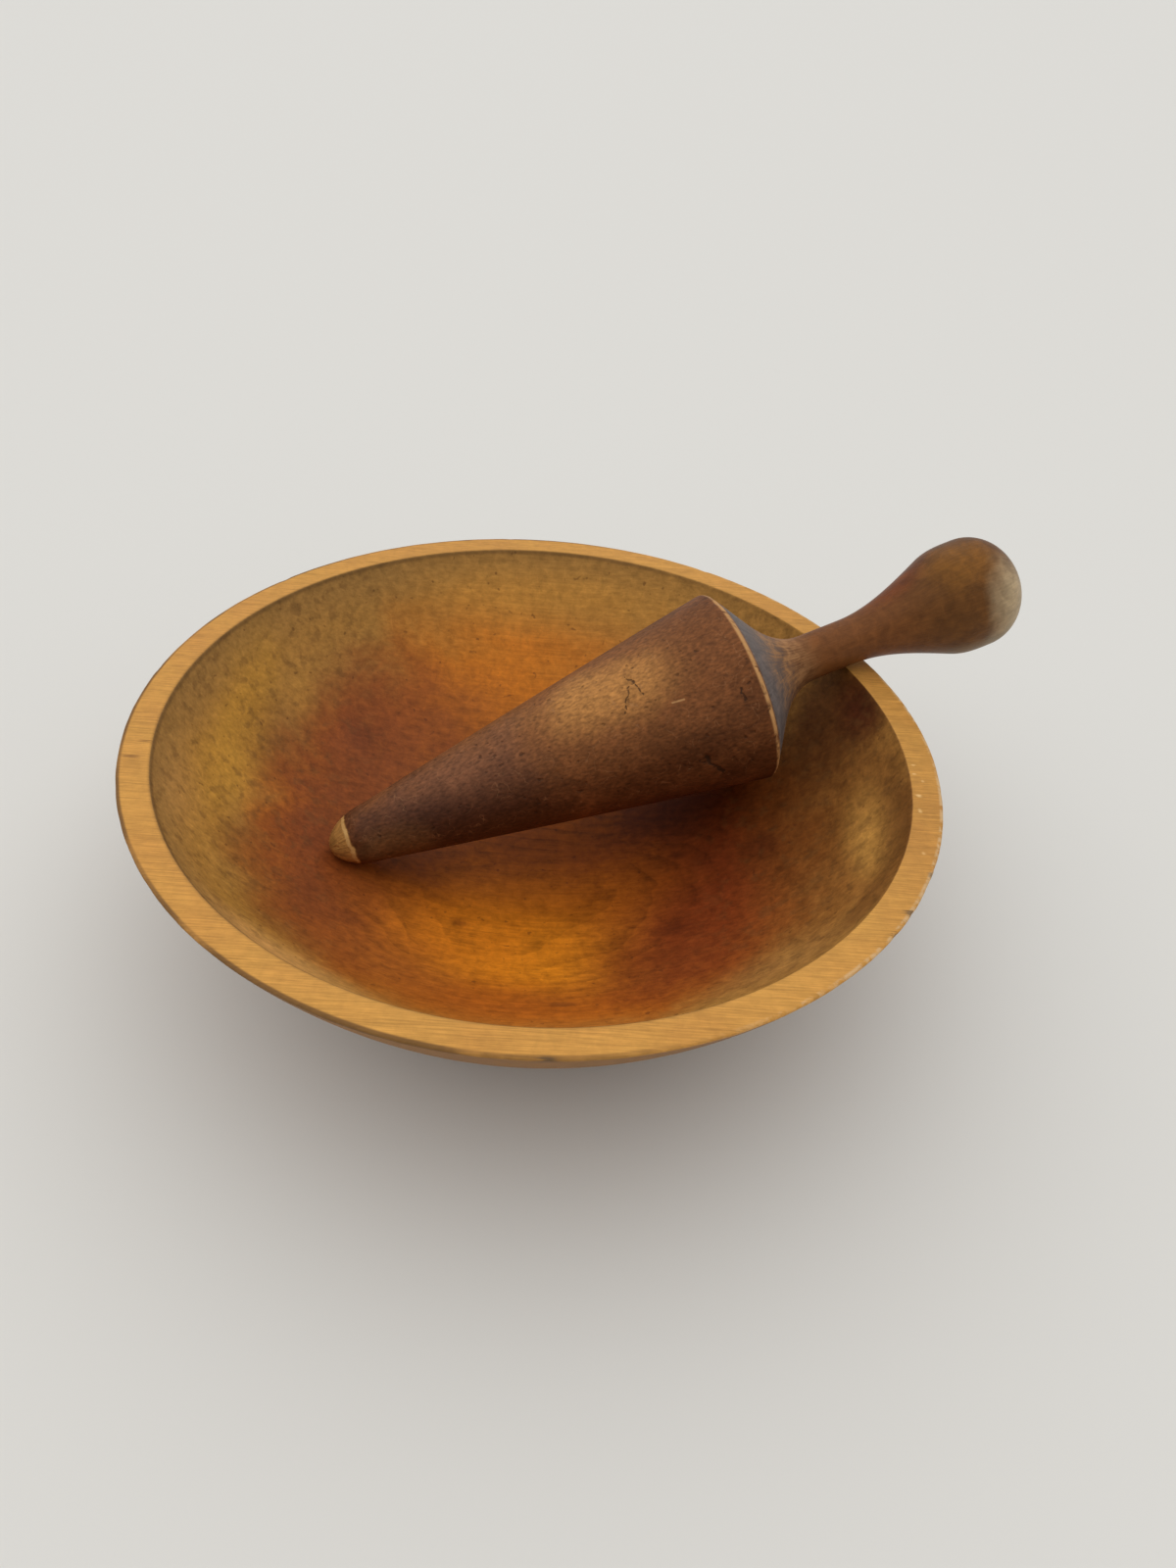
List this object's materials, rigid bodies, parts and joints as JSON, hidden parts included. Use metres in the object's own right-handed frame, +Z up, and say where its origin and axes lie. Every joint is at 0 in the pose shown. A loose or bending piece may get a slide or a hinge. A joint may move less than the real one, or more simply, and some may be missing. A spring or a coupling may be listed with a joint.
{
  "type": "wooden bowl with pestle",
  "caption": "Turned wooden bowl with a flat rim and a loose cone-shaped wooden pestle that rests in it, its handle lying over the rim.",
  "frame": {"origin": "centre of the bowl's flat base, on the surface the bowl stands on", "axes": "+Z up along the bowl's own axis, out of its mouth; +X across the bowl, along the wood's grain, towards the side where the pestle's handle lies over the rim"},
  "size_m": [0.2996, 0.26, 0.1193],
  "materials": {
    "bowl_wood": "worn oiled satin",
    "pestle_wood": "dark stained satin"
  },
  "bodies": {
    "bowl": {"bowl": "bowl_wood"},
    "pestle": {"pestle": "pestle_wood"}
  },
  "joints": [
    {"name": "pestle_lift", "type": "slide", "parent": "bowl", "child": "pestle", "axis": [0, 0, 1], "range_m": [0, 0.12]}
  ]
}
